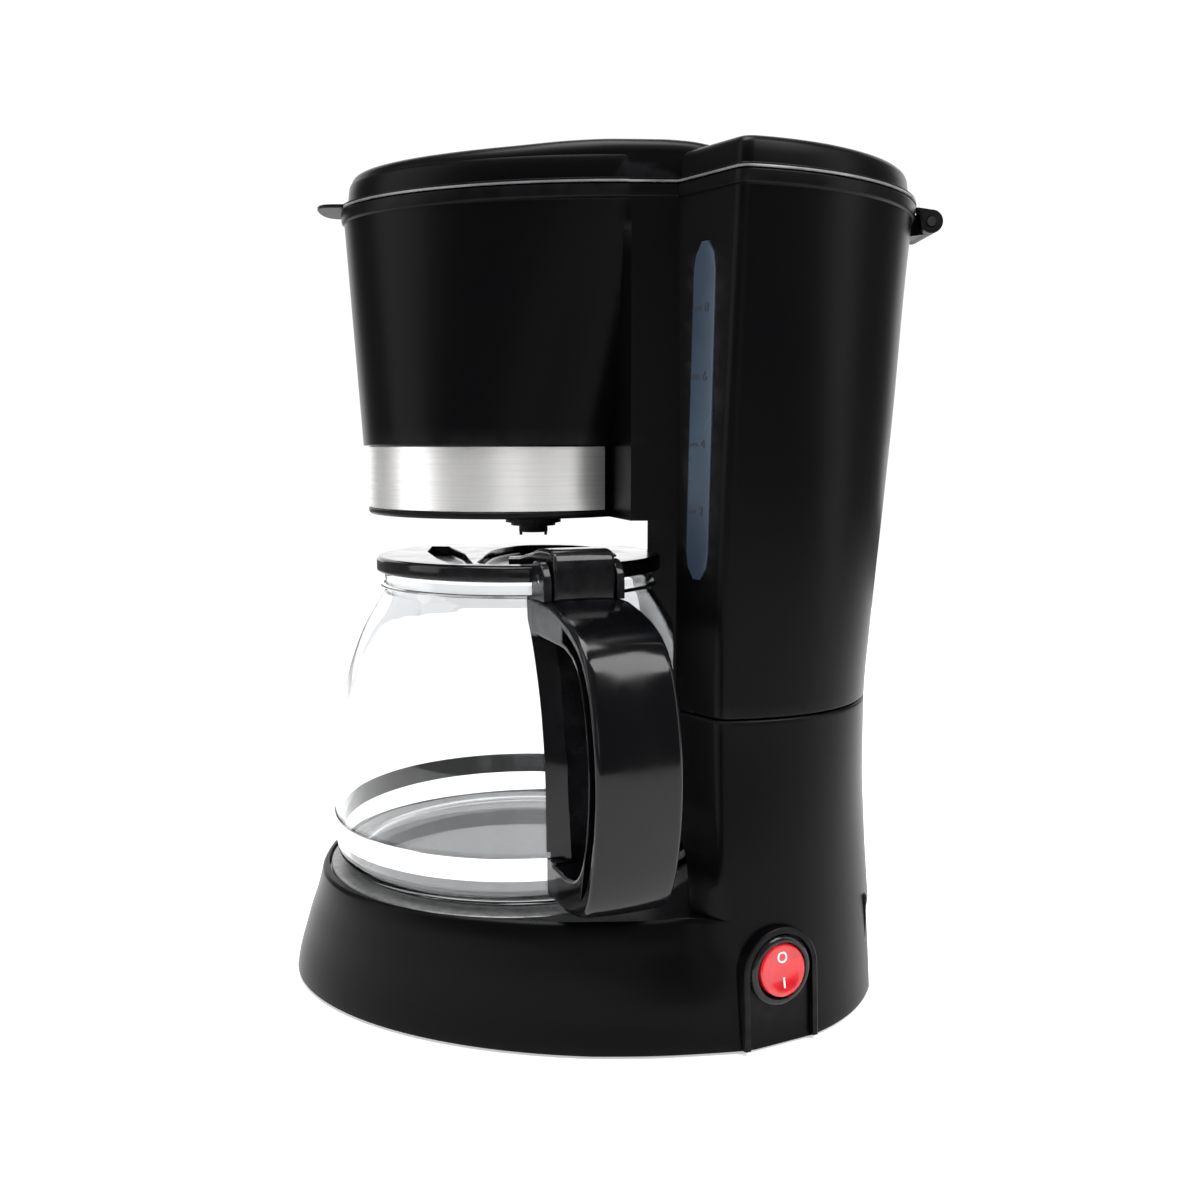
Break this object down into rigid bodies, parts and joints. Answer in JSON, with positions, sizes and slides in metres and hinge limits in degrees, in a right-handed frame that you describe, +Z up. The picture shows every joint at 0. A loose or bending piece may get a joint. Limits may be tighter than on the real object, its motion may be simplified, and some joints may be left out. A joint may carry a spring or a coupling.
{
  "type": "drip coffee maker",
  "caption": "Countertop drip coffee maker with an egg-shaped brewing head over a glass jug, a rear water tank, a hinged lid and a lit rocker switch.",
  "frame": {"origin": "centre of the bounding box, at the soles of the feet", "axes": "+Z up; +Y towards the water tank and its lid hinge, -Y towards the jug's front; +X towards the side with the switch, the water gauge and the jug's handle"},
  "size_m": [0.2092, 0.2496, 0.3089],
  "materials": {
    "black_shell": "satin moulded plastic",
    "black_gloss": "polished moulded plastic",
    "black_inner": "fine matt moulding",
    "brushed_steel": "brushed along its length",
    "bright_steel": "bright rolled steel",
    "plate_grey": "grey non-stick coating",
    "aluminium": "plain",
    "clear_glass": "clear blown glass",
    "gauge_clear": "tinted clear plastic",
    "red_lens": "translucent red plastic",
    "silicone": "milky silicone",
    "dark_rubber": "matt rubber"
  },
  "bodies": {
    "machine": {"upper_housing": "black_shell", "trim_band": "brushed_steel", "water_gauge": "gauge_clear", "lower_housing": "black_shell", "bottom_cover": "black_inner", "hinge_pin": "bright_steel", "filter_basket": "black_inner", "drip_spring": "bright_steel", "riser_tube": "black_inner", "check_valve": "silicone", "tank_strainer": "bright_steel", "cold_hose": "silicone", "hot_hose": "silicone", "cold_clip_top": "bright_steel", "hot_clip_top": "bright_steel", "warming_plate": "plate_grey", "plate_seal": "silicone", "heater_element": "aluminium", "heater_bracket": "bright_steel", "bracket_screw": "bright_steel", "thermostat": "aluminium", "thermal_fuse": "silicone", "switch_body": "black_inner", "cord_gland": "dark_rubber", "foot_1": "dark_rubber", "bottom_screw_1": "bright_steel", "foot_2": "dark_rubber", "bottom_screw_2": "bright_steel", "foot_3": "dark_rubber", "bottom_screw_3": "bright_steel", "foot_4": "dark_rubber", "bottom_screw_4": "bright_steel", "housing_screw_1": "bright_steel", "housing_screw_2": "bright_steel"},
    "lid": {"lid": "black_shell", "spray_arm": "black_inner", "shower_head": "black_inner"},
    "carafe": {"carafe_glass": "clear_glass", "carafe_band": "bright_steel", "neck_ring": "bright_steel", "carafe_handle": "black_gloss", "band_stud": "bright_steel", "carafe_lid_pin": "bright_steel"},
    "carafe_lid": {"carafe_lid": "black_gloss"},
    "rocker": {"switch_rocker": "red_lens"},
    "valve": {"drip_valve": "black_inner", "drip_seal": "silicone"}
  },
  "joints": [
    {"name": "lid_hinge", "type": "hinge", "parent": "machine", "child": "lid", "pos_m": [-0.01216, 0.12055, 0.289], "axis": [-1, 0, 0], "range_deg": [0, 100]},
    {"name": "carafe_slide", "type": "slide", "parent": "machine", "child": "carafe", "axis": [0, -1, 0], "range_m": [0, 0.2]},
    {"name": "carafe_lid_hinge", "type": "hinge", "parent": "carafe", "child": "carafe_lid", "pos_m": [0.04798, -0.01306, 0.1605], "axis": [-0.342, 0.9397, 0], "range_deg": [0, 6]},
    {"name": "switch_rock", "type": "hinge", "parent": "machine", "child": "rocker", "pos_m": [0.06823, 0.05421, 0.0269], "axis": [-0.4226, 0.9063, 0], "range_deg": [0, 14]},
    {"name": "drip_valve_lift", "type": "slide", "parent": "machine", "child": "valve", "axis": [0, 0, 1], "range_m": [0, 0.0035], "stiffness_N_per_m": 150, "springref_m": -0.002, "deforming": ["drip_spring"]}
  ]
}
